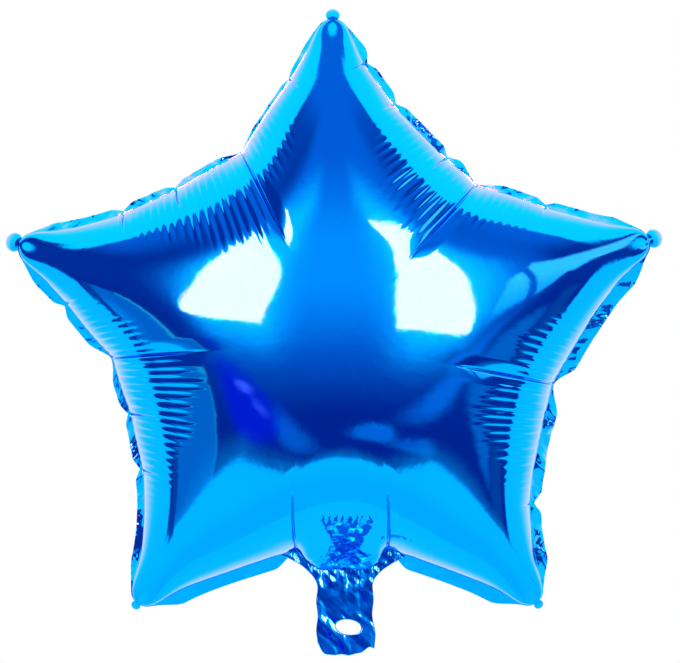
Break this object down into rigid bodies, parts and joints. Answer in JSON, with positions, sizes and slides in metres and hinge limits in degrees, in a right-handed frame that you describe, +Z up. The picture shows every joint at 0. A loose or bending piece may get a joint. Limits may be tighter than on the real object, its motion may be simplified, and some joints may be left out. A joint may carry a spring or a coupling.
{
  "type": "star foil balloon",
  "caption": "Inflated star-shaped foil balloon with a flat welded margin, gathered edges and a filling tail with a ribbon hole.",
  "frame": {"origin": "middle of the ribbon hole in the tail", "axes": "+Z up from the tail to the top arm, -Y out of the front of the balloon, +X to the right as seen from the front"},
  "size_m": [0.4602, 0.1766, 0.4542],
  "materials": {
    "blue_foil": "mirror-bright blue metallised film"
  },
  "bodies": {
    "root": {"star_balloon": "blue_foil"}
  },
  "joints": []
}
